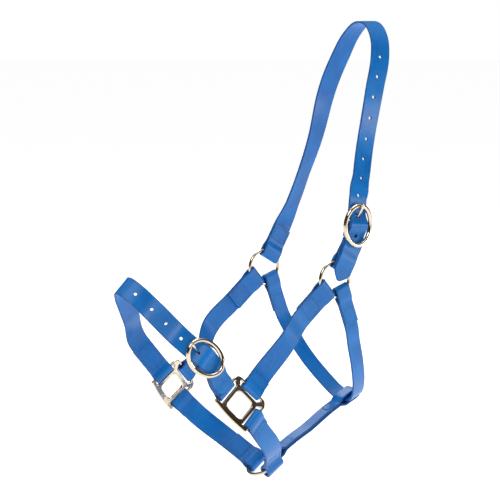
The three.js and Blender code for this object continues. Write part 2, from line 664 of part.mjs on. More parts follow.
function noseband() {
  const near = noseFoot(NEAR);
  const axis = vec(...NOSE_BUCKLE_AXIS).normalize();
  const across = squaredTo(faceLine, axis);
  const outward = across.clone().cross(axis);
  if (outward.y > 0) outward.negate();
  const place = buckleAt(vec(...NOSE_BUCKLE), axis, outward);
  const foot = { ...near, tailFace: near.outward.clone().negate(), radius: barFold, pocket: 1, settle: 8 };
  addBuckle("noseband", place, foot, across);
  addStitch("noseband_chape_stitch", { ...foot, from: 13, to: 25, width: WIDE });

  const far = noseFoot(FAR);
  const end = { ...far, tailFace: far.outward, radius: barFold, tail: 46 };
  const shape = [[4, 6.9, 0.4], [5, 6.9, 0.72], [7, 6.8, 0.92], [10, 6.4, 1], [15, 5.7, 1]];
  const tip = billetTip(foot, shape);
  const over = [
    [-304, 40.5, -333],
    [-318, 27.5, -315],
    [-331, 14, -298.5],
    [-337, 0, -291.5],
    [-331, -14, -298.5],
    [-318, -27.5, -315],
  ].map(([x, y, z]) => ({ at: vec(x, y, z), across: faceLine }));
  addBillet("noseband_strap", place, billetEnd(place, across, tip), [foldedEnd(end), over, 48], 4, 0);
  addStitch("noseband_strap_stitch", { ...end, from: 13, to: 43, width: WIDE });
}
noseband();

export default halter;
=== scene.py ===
"""Looks of the horse halter: coated straps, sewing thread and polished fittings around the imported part.

Lengths are in millimetres until a mesh is made. Every strap follows the same route as its CAD solid.
-Y is the near side, -X is towards the nose, and the origin is on the underside of the crown strap at
the poll.
"""

import math
from collections import namedtuple

import bmesh
import bpy
import numpy as np
from mathutils import Matrix, Quaternion, Vector, noise


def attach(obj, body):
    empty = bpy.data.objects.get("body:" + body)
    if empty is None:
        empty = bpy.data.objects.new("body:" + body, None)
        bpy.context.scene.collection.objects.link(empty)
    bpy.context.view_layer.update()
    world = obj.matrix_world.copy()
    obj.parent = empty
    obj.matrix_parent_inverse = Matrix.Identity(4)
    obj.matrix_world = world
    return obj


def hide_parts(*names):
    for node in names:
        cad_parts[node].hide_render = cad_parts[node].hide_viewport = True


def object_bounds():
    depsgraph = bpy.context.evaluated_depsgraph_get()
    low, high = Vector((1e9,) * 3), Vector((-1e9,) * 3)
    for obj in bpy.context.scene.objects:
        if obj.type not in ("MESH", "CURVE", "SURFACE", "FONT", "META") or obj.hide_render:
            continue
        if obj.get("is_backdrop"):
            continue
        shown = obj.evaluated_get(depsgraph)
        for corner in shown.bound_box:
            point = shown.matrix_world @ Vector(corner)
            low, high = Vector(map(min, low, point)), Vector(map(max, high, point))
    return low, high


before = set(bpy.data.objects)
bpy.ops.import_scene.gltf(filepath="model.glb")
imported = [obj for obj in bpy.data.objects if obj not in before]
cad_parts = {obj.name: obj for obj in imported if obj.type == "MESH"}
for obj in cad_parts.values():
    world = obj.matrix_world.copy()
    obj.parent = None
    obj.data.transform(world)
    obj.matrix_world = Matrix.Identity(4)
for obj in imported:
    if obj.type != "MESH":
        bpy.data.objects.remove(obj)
cad_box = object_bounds()

MM = 0.001

# Strap stock
WIDE = 25
NARROW = 19
THICK = 2.4
PLY_GAP = 0.3
PLY = (THICK + PLY_GAP) / 2
HOLE_PITCH = 25
HOLE_RADIUS = 1.9
EDGE_ROUND = 0.85  # of the strap's long edges
END_ROUND = 0.7  # of its cut ends
SEAM_INSET = 3  # thread to strap edge
STEP = 1.25  # between two sections of a strap's mesh
BEND_STEP = math.radians(9)  # most that a strap's mesh turns between two sections
FACE_SWAY = 0.09  # slow unevenness of a strap's faces

# Layout of the head
HALF_WIDTH = 72
RING_X = -98
RING_Z = -294
CHEEK_LENGTH = 187
HEAD_ANGLE = 45
CHEEK_SKEW = math.radians(4)  # of its lower fold on the square's bar
CHEEK_BOW = (4.5, 7)  # its middle, back from the straight line and out from the head
CHIN_X = -148
CHIN_Z = -516
CHIN_ANGLE = 33
CHIN_FOLD = 6.2  # the chin strap's wide fold round the chin ring
THROAT_X = -25
THROAT_Z = -448
THROAT_SHIFT = 4.6  # of its folds along the upper rings
JAW_ANGLE = 26
JAW_LOOP = 4.9  # the jaw strap's loop round the throat strap

# Fittings
WIRE = 2.1
RING_RADIUS = 20.3
SQUARE_THICK = 3.8
SQUARE_HALF = 25.5
SQUARE_CORNER = 9
SQUARE_LIP = 16  # half the short side that faces away from the cheek
SQUARE_EDGE = 1.25  # rounding of the casting's edges
SQUARE_WINDOW = 12.2
SQUARE_WINDOW_CORNER = 6
SQUARE_BAND = 4.9
SQUARE_BAR = 23.9
SQUARE_LEAN = 14
SQUARE_TURN = -4
FRAME_LONG = 22.9
FRAME_SHORT = 17.5
FRAME_WIRE = 2.6
FRAME_RISE = 2
BAR_DROP = 3.5
BAR_RADIUS = 2
TONGUE_RADIUS = 1.7
TONGUE_LINE = [(3.2, -3.2), (9, -2.4), (16.5, 3.2), (22.5, 7.25), (25.4, 7.8)]

# Thread
STITCH_PITCH = 3.7
STITCH_LENGTH = 2.9
THREAD_RADIUS = 0.36
THREAD_RISE = 0.3
THREAD_DIP = 0.22  # of a stitch's two ends below the strap's face
STITCH_SLANT = math.radians(7)
SEAM_DEPTH = 0.1  # how far the thread pulls the strap's face in
SEAM_SPREAD = 0.75  # how far from the thread that is felt

X_AXIS = Vector((1, 0, 0))
NEAR = -1
FAR = 1
SIDE_NAME = {NEAR: "near", FAR: "far"}

Station = namedtuple("Station", "at across share", defaults=(1.0,))
Seam = namedtuple("Seam", "bar away across face start end width body replaces")


# ---------- vectors ----------


def in_side(degrees):
    """A direction in the horse's mid-plane, by its angle above the horizontal."""
    return Vector((math.cos(math.radians(degrees)), 0, math.sin(math.radians(degrees))))


def mix(start, *moves):
    total = start.copy()
    for direction, by in moves:
        total += direction * by
    return total


def squared_to(v, axis):
    return mix(v, (axis, -v.dot(axis))).normalized()


def knots_of(p0, p1, p2, p3):
    d0, d1, d2 = [(b - a).length ** 0.5 for a, b in ((p0, p1), (p1, p2), (p2, p3))]
    d1 = 1.0 if d1 < 1e-4 else d1
    d0 = d1 if d0 < 1e-4 else d0
    d2 = d1 if d2 < 1e-4 else d2
    return d0, d1, d2


def span_value(x0, x1, x2, x3, knots, t):
    """A centripetal Catmull-Rom span from x1 to x2, for points or for numbers."""
    d0, d1, d2 = knots
    m1 = ((x1 - x0) / d0 - (x2 - x0) / (d0 + d1) + (x2 - x1) / d1) * d1
    m2 = ((x2 - x1) / d1 - (x3 - x1) / (d1 + d2) + (x3 - x2) / d2) * d1
    slope = x2 - x1
    return x1 + m1 * t + (slope * 3 - m1 * 2 - m2) * (t * t) + (m1 + m2 - slope * 2) * (t * t * t)


def four_round(values, i):
    """The values on both sides of span i, with the ends extended in a straight line."""
    before = values[i - 1] if i > 0 else values[i] * 2 - values[i + 1]
    after = values[i + 2] if i + 2 < len(values) else values[i + 1] * 2 - values[i]
    return before, values[i], values[i + 1], after


def curve_point(points, t):
    place = (len(points) - 1) * t
    i = min(int(place), len(points) - 2)
    four = four_round(points, i)
    return span_value(*four, knots_of(*four), place - i)


# ---------- routes of straps ----------


def folded_end(bar, away, across, tail_face, radius, tail, pocket=1, settle=9):
    """A strap's end folded round a bar, listed from its tail's tip to where both layers lie flat."""
    made = []

    def add(out, side):
        made.append(Station(mix(bar, (away, out), (tail_face, side)), across))

    join = pocket + settle
    easing = (0.15, 0.5, 0.85)
    eased = [PLY + (radius - PLY) * (1 - math.cos(math.pi * t)) / 2 for t in easing]
    add(tail, PLY)
    add(join, PLY)
    for t, side in zip(easing, eased):
        add(join - settle * t, side)
    add(pocket, radius)
    for i in range(9):
        angle = math.pi * i / 8
        add(-radius * math.sin(angle), radius * math.cos(angle))
    add(pocket, -radius)
    for t, side in zip(reversed(easing), reversed(eased)):
        add(join - settle * t, -side)
    add(join, -PLY)
    add(tail, -PLY)
    return made


HANDLE_SHARE = 0.38  # of each span's chord, the length of its curve's handles


def joined(start, through, end, steps):
    """Two ends, each listed from its tip, joined by smooth bends through a few stations.

    Each span is a cubic curve. Both ends are left in their own direction.
    """
    knots = [start[-1], *through, end[-1]]
    last = len(knots) - 1
    heading = [towards(knots[max(i - 1, 0)], knots[min(i + 1, last)]) for i in range(last + 1)]
    heading[0] = towards(start[-2], start[-1])
    heading[last] = towards(end[-1], end[-2])
    total = length_of(knots)
    run = []
    for i, (a, b) in enumerate(zip(knots, knots[1:])):
        chord = (b.at - a.at).length
        reach = HANDLE_SHARE * chord
        handles = mix(a.at, (heading[i], reach)), mix(b.at, (heading[i + 1], -reach))
        count = max(1, math.floor(steps * chord / total + 0.5))
        for k in range(1, count + 1):
            t = k / count
            run.append(Station(bezier(a.at, *handles, b.at, t), a.across.lerp(b.across, t)))
    return [*start, *run[:-1], *reversed(end)]


def towards(a, b):
    return (b.at - a.at).normalized()


def bezier(a, b, c, d, t):
    u = 1 - t
    return a * u**3 + b * (3 * u * u * t) + c * (3 * u * t * t) + d * t**3


def framed(stations):
    """Adds each station's direction along the strap and out of its face."""
    made = []
    for i, s in enumerate(stations):
        ahead = stations[min(i + 1, len(stations) - 1)].at
        along = (ahead - stations[max(i - 1, 0)].at).normalized()
        across = squared_to(s.across, along)
        made.append((s, along, across, along.cross(across)))
    return made


def station_at(stations, distance):
    """The middle of a strap and its facing, at a distance from its start."""
    left = distance
    rows = framed(stations)
    for (a, _, _, face_a), (b, _, _, face_b) in zip(rows, rows[1:]):
        step = (b.at - a.at).length
        if left <= step:
            t = left / step
            return a.at.lerp(b.at, t), face_a.lerp(face_b, t).normalized()
        left -= step
    raise ValueError(f"the strap is shorter than {distance}")


def length_of(stations):
    return sum((b.at - a.at).length for a, b in zip(stations, stations[1:]))


def refined(stations):
    """The same route in short steps, closer together where it bends and at its rounded ends."""
    ats = [s.at for s in stations]
    shares = [s.share for s in stations]
    made = []
    for i in range(len(stations) - 1):
        four = four_round(ats, i)
        knots = knots_of(*four)
        bend = max(angle_between(*four[:3]), angle_between(*four[1:]))
        parts = max(1, math.ceil((four[2] - four[1]).length / STEP), math.ceil(bend / BEND_STEP))
        for k in range(parts):
            t = k / parts
            at = span_value(*four, knots, t)
            share = min(1, span_value(*four_round(shares, i), knots, t))
            made.append(Station(at, stations[i].across.lerp(stations[i + 1].across, t), share))
    made.append(stations[-1])
    return rounded_end(rounded_end(made)[::-1])[::-1]


def angle_between(a, b, c):
    first, second = b - a, c - b
    if min(first.length, second.length) < 1e-6:
        return 0
    return first.angle(second)


def rounded_end(stations):
    """Puts close stations at the start, where the cut end's edges are rounded."""
    tip, second = stations[0], stations[1]
    length = (second.at - tip.at).length
    near = [by for by in (0.1, 0.25, 0.45, 0.7) if by < length - 0.1]
    growth = second.share - tip.share
    extra = []
    for by in near:
        at = tip.at.lerp(second.at, by / length)
        extra.append(Station(at, tip.across, tip.share + growth * by / length))
    return [tip, *extra, *stations[1:]]


# ---------- meshes ----------


def object_of(name, verts, faces, uvs=()):
    """A new object from millimetres. uvs gives map names and one pair of numbers for each vertex."""
    mesh = bpy.data.meshes.new(name)
    mesh.from_pydata([tuple(v * MM for v in p) for p in verts], [], faces)
    for map_name, pairs in uvs:
        layer = mesh.uv_layers.new(name=map_name)
        loops = np.zeros(len(mesh.loops), np.int32)
        mesh.loops.foreach_get("vertex_index", loops)
        layer.data.foreach_set("uv", np.asarray(pairs, np.float32)[loops].ravel())
    mesh.validate()
    obj = bpy.data.objects.new(name, mesh)
    bpy.context.scene.collection.objects.link(obj)
    face_outwards(mesh)
    return obj


def face_outwards(mesh):
    bm = bmesh.new()
    bm.from_mesh(mesh)
    bmesh.ops.recalc_face_normals(bm, faces=bm.faces)
    if bm.calc_volume(signed=True) < 0:
        bmesh.ops.reverse_faces(bm, faces=bm.faces)
    bm.to_mesh(mesh)
    bm.free()


def smooth(obj, angle=35):
    obj.data.shade_smooth()
    obj.data.set_sharp_from_angle(angle=math.radians(angle))


def combine(obj, tool, operation):
    """obj with tool cut away or added, by the exact boolean. The tool is used up."""
    cutter = obj.modifiers.new("combine", "BOOLEAN")
    cutter.operation = operation
    cutter.solver = "EXACT"
    cutter.object = tool
    bpy.context.view_layer.update()
    shown = obj.evaluated_get(bpy.context.evaluated_depsgraph_get())
    mesh = bpy.data.meshes.new_from_object(shown)
    obj.modifiers.clear()
    obj.data = mesh
    bpy.data.objects.remove(tool)


def loft(rings, closed=False, caps=True):
    """Vertices and faces of a tube through equal rings of points."""
    count = len(rings[0])
    verts = [p for ring in rings for p in ring]
    faces = []
    spans = len(rings) if closed else len(rings) - 1
    for i in range(spans):
        a, b = i * count, (i + 1) % len(rings) * count
        for k in range(count):
            n = (k + 1) % count
            faces.append((a + k, b + k, b + n, a + n))
    if caps and not closed:
        faces.append(tuple(range(count)))
        faces.append(tuple(range(len(verts) - count, len(verts)))[::-1])
    return verts, faces


def merged(parts):
    """Several (verts, faces) as one."""
    verts, faces = [], []
    for more, sides in parts:
        shift = len(verts)
        verts += more
        faces += [tuple(i + shift for i in f) for f in sides]
    return verts, faces


# ---------- straps ----------


def section(half, thick):
    """The outline of a strap's section as (place across, place through), with rounded edges."""
    inner = half - EDGE_ROUND
    seam = half - SEAM_INSET
    columns = [seam * i / 5 for i in range(-4, 5)]
    columns += [s * (seam + by) for s in (-1, 1) for by in (-0.7, 0, 0.7, 1.4)] + [-inner, inner]
    top = [(a, thick / 2) for a in sorted(columns, reverse=True)]
    turns = [math.radians(d) for d in (22.5, 45, 67.5, 90, 112.5, 135, 157.5)]
    rim = [(inner + EDGE_ROUND * math.sin(t), thick / 2 * math.cos(t)) for t in turns]
    return top + [(-a, f) for a, f in rim] + [(a, -f) for a, f in reversed(top)] + rim[::-1]


def strap_sections(stations, width):
    """Rings of points, and each point's place on the strap and its nearness to edges and bends."""
    rows = framed(stations)
    total = length_of(stations)
    outline = section(width / 2, THICK)
    rings, place, rim = [], [], []
    gone = 0
    for i, (s, along, across, face) in enumerate(rows):
        gone += (s.at - rows[i - 1][0].at).length if i else 0
        end = min(gone, total - gone, END_ROUND)
        inset = END_ROUND - math.sqrt(max(0, END_ROUND**2 - (END_ROUND - end) ** 2))
        wide = max(0.05, s.share - 2 * inset / width)
        thin = 1 - 1.5 * inset / THICK
        bend = bend_at(rows, i)
        ring = []
        for a, f in outline:
            sway = FACE_SWAY * noise.noise(Vector((a / 16, gone / 21, width)))
            ring.append(mix(s.at, (across, a * wide), (face, f * thin + sway)))
            place.append((a * wide * MM, gone * MM))
            rim.append(((width / 2 - abs(a)) * MM, bend))
        rings.append(ring)
    return rings, place, rim


def bend_at(rows, i):
    """How tightly a strap bends at a station: 0 is straight, 1 is folded round a wire."""
    if not 0 < i < len(rows) - 1:
        return 0
    (before, _, _, _), (here, _, _, _), (after, _, _, _) = rows[i - 1 : i + 2]
    run = ((here.at - before.at).length + (after.at - here.at).length) / 2
    return min(1, 4 * angle_between(before.at, here.at, after.at) / max(run, 0.2))


def press_seams(rings, seams):
    """Draws the strap's outer faces in along its seams."""
    points = np.array([p for ring in rings for p in ring])
    for seam in seams:
        out, level, side = seam_place(points, seam)
        half = seam.width / 2 - SEAM_INSET
        ends = np.minimum(abs(out - seam.start), abs(out - seam.end))
        inside = np.maximum(np.maximum(seam.start - out, out - seam.end), 0)
        far = np.maximum(abs(side) - half, 0)
        line = np.minimum(np.hypot(abs(abs(side) - half), inside), np.hypot(ends, far))
        outer = (abs(level) > PLY + THICK / 2 - 0.35) & (abs(level) < PLY + THICK / 2 + 0.35)
        depth = SEAM_DEPTH * np.exp(-((line / SEAM_SPREAD) ** 2)) * outer * np.sign(level)
        points -= depth[:, None] * np.array(seam.face)[None]
    count = len(rings[0])
    return [[Vector(p) for p in points[i : i + count]] for i in range(0, len(points), count)]


def seam_place(points, seam):
    rel = points - np.array(seam.bar)
    return rel @ np.array(seam.away), rel @ np.array(seam.face), rel @ np.array(seam.across)


def strap(name, stations, width, body, seams=(), holes=()):
    """A finished strap that stands for the CAD node of that name."""
    rings, place, rim = strap_sections(refined(stations), width)
    rings = press_seams(rings, seams)
    verts, faces = loft(rings)
    obj = object_of(name + "_leather", verts, faces, [("strap", place), ("rim", rim)])
    if holes:
        tool = object_of(name + "_tool", *merged(holes))
        combine(obj, tool, "DIFFERENCE")
    smooth(obj)
    finish_piece(obj, body, COATED, [name])


def finish_piece(obj, body, material, replaced):
    obj.data.materials.clear()
    obj.data.materials.append(material)
    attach(obj, body)
    if replaced:
        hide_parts(*replaced)


# ---------- seams ----------


def stitch(at, along, out):
    """One stitch: a short thread that rises out of the strap's face and goes back in."""
    side = along.cross(out)
    rings, pairs = [], []
    for k in range(9):
        t = k / 8 * 2 - 1
        rise = THREAD_RISE * math.sqrt(max(0, 1 - t**4)) - THREAD_DIP
        radius = THREAD_RADIUS * (0.72 + 0.28 * math.cos(math.pi * t / 2))
        middle = mix(at, (along, t * STITCH_LENGTH / 2), (out, rise))
        ring = []
        for i in range(8):
            angle = math.pi * i / 4
            ring.append(mix(middle, (side, radius * math.cos(angle)), (out, radius * math.sin(angle))))
            pairs.append((min(i, 8 - i) / 8, t / 2))
        rings.append(ring)
    return rings, pairs


def seam_lines(seam):
    """The corners of the seam's box, on each outer face of the doubled strap."""
    half = seam.width / 2 - SEAM_INSET
    level = PLY + THICK / 2 - 0.1
    for sign in (1, -1):
        box = (seam.start, -half), (seam.end, -half), (seam.end, half), (seam.start, half)
        corner = [
            mix(seam.bar, (seam.away, out), (seam.across, side), (seam.face, sign * level))
            for out, side in box
        ]
        for a, b in zip(corner, corner[1:] + corner[:1]):
            yield a, b, seam.face * sign


def sew(name, seam):
    """The thread of one box seam as a piece of its own."""
    parts, pairs = [], []
    for a, b, out in seam_lines(seam):
        run = b - a
        count = max(1, round((run.length - 0.6) / STITCH_PITCH))
        step = run / count
        along = Quaternion(out, STITCH_SLANT) @ run.normalized()
        for i in range(count):
            rings, uv = stitch(a + step * (i + 0.5), along, out)
            parts.append(loft(rings))
            pairs += uv
    verts, faces = merged(parts)
    obj = object_of(name + "_thread", verts, faces, [("thread", pairs)])
    smooth(obj, 60)
    finish_piece(obj, seam.body, THREAD, seam.replaces)


# ---------- metal ----------


def metal(name, obj, body, material, angle=40):
    smooth(obj, angle)
    finish_piece(obj, body, material, [name])


def circle(centre, x, y, radius, count):
    turns = [2 * math.pi * i / count for i in range(count)]
    return [mix(centre, (x, radius * math.cos(t)), (y, radius * math.sin(t))) for t in turns]


def tube(points, radii, up, count=16, closed=False):
    """A round tube along points. up is any direction that the tube never follows."""
    rings = []
    last = len(points) - 1
    for i, p in enumerate(points):
        ahead = points[(i + 1) % len(points)] if closed else points[min(i + 1, last)]
        behind = points[i - 1] if closed else points[max(i - 1, 0)]
        x = squared_to(up, (ahead - behind).normalized())
        rings.append(circle(p, x, (ahead - behind).normalized().cross(x), radii[i], count))
    return loft(rings, closed)


def ring_piece(name, body, centre, axis):
    """A ring of round wire, a little thicker at its weld."""
    x = axis.orthogonal().normalized()
    y = axis.cross(x)
    count = 112
    radii = []
    for i in range(count):
        angle = 2 * math.pi * i / count
        weld = min(angle, 2 * math.pi - angle) / math.radians(5)
        radii.append(WIRE * (0.985 + 0.035 * math.exp(-weld * weld)))
    shape = tube(circle(centre, x, y, RING_RADIUS, count), radii, axis, 20, True)
    metal(name, object_of(name + "_metal", *shape), body, WIRE_METAL)


def arc_corner(start, corner, end, steps=8):
    """Points of a quadratic curve that rounds a corner."""
    a, b, c = Vector(start), Vector(corner), Vector(end)
    places = [i / steps for i in range(steps + 1)]
    return [a * (1 - t) ** 2 + b * 2 * t * (1 - t) + c * t * t for t in places]


def square_outlines():
    """The casting's outer line, window and three slots, with x to the cheek and y to the nose."""
    h, lip, r = SQUARE_HALF, SQUARE_LIP, SQUARE_CORNER
    w, inner = SQUARE_WINDOW, SQUARE_WINDOW - SQUARE_WINDOW_CORNER
    outer = arc_corner((h - r, -h), (h, -h), (h, -h + r)) + arc_corner((h, h - r), (h, h), (h - r, h))
    outer += arc_corner((-lip, h + 0.5), (-lip - 3, h), (-lip - 2.6, h - 5))
    outer += arc_corner((-lip - 2.6, h - 5), (-lip - 5, 0), (-lip - 2.6, -h + 5), 16)[1:]
    outer += arc_corner((-lip - 2.6, -h + 5), (-lip - 3, -h), (-lip, -h - 0.5))[1:]
    window = []
    for x, y in ((1, -1), (1, 1), (-1, 1), (-1, -1)):
        start, end = (x * w, y * inner), (x * inner, y * w)
        if x * y < 0:
            start, end = end, start
        window += arc_corner(start, (x * w, y * w), end)
    yield outer
    yield window
    for quarter in (0, 1, -1):
        yield slot_outline(quarter)


def slot_outline(quarter):
    """One slot for a strap: 0 is the cheek strap's, 1 the noseband's and -1 the chin strap's."""
    near, far = SQUARE_WINDOW + SQUARE_BAND, SQUARE_BAR - 1.6
    short, long = WIDE / 2 + 1, WIDE / 2 + 4.6
    low = (-short, -long) if quarter == 0 else (-short, -short)
    corners = [(near, low[0]), (far, low[1]), (far, long), (near, short)]
    if quarter == 0:
        points = [Vector((out, along)) for out, along in corners]
    else:
        points = [Vector((along, quarter * out)) for out, along in corners]
    made = []
    for i, p in enumerate(points):
        before, after = points[i - 1] - p, points[(i + 1) % 4] - p
        cut = min(1.2, 0.4 * before.length, 0.4 * after.length)
        made += arc_corner(p + before.normalized() * cut, p, p + after.normalized() * cut, 5)
    return made


def square_piece(side, body):
    """The cast square: a plate with well rounded edges."""
    name = SIDE_NAME[side] + "_halter_square"
    plan = bpy.data.curves.new(name, "CURVE")
    plan.dimensions = "2D"
    plan.fill_mode = "BOTH"
    plan.bevel_depth = SQUARE_EDGE
    plan.offset = -SQUARE_EDGE
    plan.bevel_resolution = 3
    plan.extrude = SQUARE_THICK / 2 - SQUARE_EDGE
    for outline in square_outlines():
        line = plan.splines.new("POLY")
        line.points.add(len(outline) - 1)
        for point, p in zip(line.points, outline):
            point.co = (p.x, p.y, 0, 1)
        line.use_cyclic_u = True
    drawn = bpy.data.objects.new(name + "_plan", plan)
    bpy.context.scene.collection.objects.link(drawn)
    bpy.context.view_layer.update()
    mesh = bpy.data.meshes.new_from_object(drawn.evaluated_get(bpy.context.evaluated_depsgraph_get()))
    bpy.data.objects.remove(drawn)
    cast = square_frame(side)
    normal = cast["cheek"].cross(cast["nose"])
    basis = Matrix((cast["cheek"], cast["nose"], normal)).transposed().to_4x4()
    basis.translation = cast["centre"]
    mesh.transform(Matrix.Scale(MM, 4) @ basis)
    bm = bmesh.new()
    bm.from_mesh(mesh)
    bmesh.ops.remove_doubles(bm, verts=bm.verts, dist=1e-6)
    bm.to_mesh(mesh)
    bm.free()
    face_outwards(mesh)
    obj = bpy.data.objects.new(name + "_metal", mesh)
    bpy.context.scene.collection.objects.link(obj)
    metal(name, obj, body, CAST_METAL, 50)
    weighted = obj.modifiers.new("even_faces", "WEIGHTED_NORMAL")
    weighted.keep_sharp = True


def buckle_frame_piece(name, body, place):
    """An oval of wire, and its bar, cranked at both ends to lie behind the strap."""
    count = 120
    points = []
    for i in range(count):
        angle = 2 * math.pi * i / count
        y = FRAME_LONG * math.cos(angle)
        points.append(Vector((FRAME_SHORT * math.sin(angle), y, FRAME_RISE * (y / FRAME_LONG) ** 2)))
    oval = tube(points, [FRAME_WIRE * 0.99] * count, Vector((0, 0, 1)), 20, True)
    crank = [(0, -0.9), (-0.7, -2.4), (-1.9, -3.3), (-3.4, -BAR_DROP)]
    crank = [(FRAME_SHORT + x, z) for x, z in crank]
    line = [Vector((-x, 0, z)) for x, z in crank] + [Vector((x, 0, z)) for x, z in reversed(crank)]
    bar = tube(line, [BAR_RADIUS] * len(line), Vector((0, 1, 0)), 24)
    obj = object_of(name + "_metal", *placed(oval, place))
    combine(obj, object_of(name + "_tool", *placed(bar, place)), "UNION")
    metal(name, obj, body, WIRE_METAL)


def placed(shape, place):
    verts, faces = shape
    return [place @ v for v in verts], faces


def tongue_points(steps):
    line = [Vector((0, y, z)) for y, z in TONGUE_LINE]
    return [curve_point(line, i / steps) for i in range(steps + 1)]


def tongue_piece(name, body, place):
    """The tongue: an eye round the bar and a shank that thins towards a rounded point."""
    steps = 30
    points = tongue_points(steps)
    radii = []
    for i in range(steps + 1):
        tip = max(0, (i - steps + 3) / 3)
        radii.append(TONGUE_RADIUS * (1 - 0.12 * i / steps) * math.sqrt(max(0.03, 1 - tip * tip)))
    shank = tube(points, radii, X_AXIS, 16)
    inner, outer = BAR_RADIUS + 0.3, BAR_RADIUS + 1.9
    half, soft = 2.2, 0.6
    profile = [(inner, -half), (outer - soft, -half), (outer, soft - half), (outer, half - soft)]
    profile += [(outer - soft, half), (inner, half)]
    rings = []
    for i in range(40):
        t = 2 * math.pi * i / 40
        rings.append([Vector((x, r * math.cos(t), r * math.sin(t) - BAR_DROP)) for r, x in profile])
    obj = object_of(name + "_metal", *placed(loft(rings, True), place))
    combine(obj, object_of(name + "_tool", *placed(shank, place)), "UNION")
    metal(name, obj, body, WIRE_METAL)


# ---------- holes ----------


def punched(at, face):
    """The tool for one punched hole, wider at both faces of the strap."""
    x = face.orthogonal().normalized()
    y = face.cross(x)
    flat = THICK / 2
    profile = [(-flat - 1.2, 3.3), (-flat + 0.35, HOLE_RADIUS)]
    profile += [(flat - 0.35, HOLE_RADIUS), (flat + 1.2, 3.3)]
    return loft([circle(mix(at, (face, z)), x, y, r, 28) for z, r in profile])


def tongue_room(place):
    """The tool for the tongue's hole: the tongue's section over its whole travel about the bar."""
    rings = []
    pivot = Vector((0, 0, BAR_DROP))
    radius = TONGUE_RADIUS + 0.5
    for p in tongue_points(14):
        low, high = [Matrix.Rotation(math.radians(a), 3, "X") @ (p + pivot) - pivot for a in (-4, 8)]
        lift = (high - low).normalized()
        ring = []
        for i in range(24):
            angle = 2 * math.pi * (i + 0.5) / 24
            base = high if math.sin(angle) > 0 else low
            moves = (X_AXIS, radius * math.cos(angle)), (lift, radius * math.sin(angle))
            ring.append(mix(base, *moves))
        rings.append([place @ v for v in ring])
    return loft(rings)


def tongue_slot(place):
    """The tool for the chape's slot, with round ends."""
    half, wide = 8, 2.8
    outline = []
    for i in range(24):
        angle = 2 * math.pi * (i + 0.5) / 24
        shift = half - wide if math.sin(angle) > 0 else wide - half
        outline.append((wide * math.cos(angle), 0.5 + shift + wide * math.sin(angle)))
    return loft([[place @ Vector((x, y, z)) for x, y in outline] for z in (-BAR_DROP - 6, -BAR_DROP + 6)])


# ---------- layout ----------

OUT = Vector((0, 1, 0))
UP_FACE = in_side(HEAD_ANGLE)
BAR_FOLD = 3.75
WIRE_FOLD = WIRE + 0.35 + THICK / 2


def ring_centre(side):
    return Vector((RING_X, side * HALF_WIDTH, RING_Z))


def square_frame(side):
    """A halter square's centre and directions: towards the cheek, the nose and out from the head."""
    out = OUT * side
    lean = math.radians(SQUARE_LEAN)
    nose = in_side(HEAD_ANGLE + SQUARE_TURN + 90) * math.cos(lean) - out * math.sin(lean)
    cheek = squared_to(in_side(HEAD_ANGLE + SQUARE_TURN) - out * 0.09, nose)
    centre = mix(ring_centre(side), (UP_FACE, -CHEEK_LENGTH))
    return {"centre": centre, "cheek": cheek, "nose": nose, "out": out}


def fold_reach(width):
    """How far from a ring's centre the flat fold of a strap of that width lies."""
    return math.sqrt((RING_RADIUS - WIRE) ** 2 - (width / 2) ** 2) + WIRE


def ring_pocket(width):
    return RING_RADIUS + WIRE - fold_reach(width) + 1


def ring_end(centre, away, across, tail_face, width, tail, radius=WIRE_FOLD, shift=0):
    """A strap's end folded round a ring's wire, shift along it."""
    reach = width + 2 * abs(shift)
    bar = mix(centre, (away, fold_reach(reach)), (across, shift))
    return folded_end(bar, away, across, tail_face, radius, tail, pocket=ring_pocket(reach))


def cheek_strap(side):
    """From the upper ring down to the square's cheek slot."""
    name = SIDE_NAME[side] + "_cheek_strap"
    square = square_frame(side)
    ring = ring_centre(side)
    up_away, up_across = in_side(-139.5), in_side(-229.5)
    cheek, nose, out = square["cheek"], square["nose"], square["out"]
    away = cheek * math.cos(CHEEK_SKEW) + nose * math.sin(CHEEK_SKEW)
    across = nose * math.cos(CHEEK_SKEW) - cheek * math.sin(CHEEK_SKEW)
    face = mix(out, (away, -away.dot(out)), (across, -across.dot(out))).normalized()
    hook = mix(square["centre"], (cheek, SQUARE_BAR), (away, -0.5))
    lower = folded_end(hook, away, across, face, BAR_FOLD + 0.15, 19, pocket=2)
    back, outward = CHEEK_BOW
    middle = mix(ring, (UP_FACE, CHEEK_LENGTH * -0.52), (in_side(135), back), (out, outward))
    top = ring_end(ring, up_away, up_across, -out, WIDE, 44)
    bar = mix(ring, (up_away, fold_reach(WIDE)))
    seams = [
        Seam(bar, up_away, up_across, out, 22, 41, WIDE, "head_frame", [name + "_ring_stitch"]),
        Seam(hook, away, across, face, 10.5, 17, WIDE, "head_frame", []),
    ]
    route = joined(top, [Station(middle, in_side(135))], lower, 16)
    strap(name, route, WIDE, "head_frame", seams)
    sew(name + "_ring_seam", seams[0])
    sew(name + "_square_seam", seams[1])


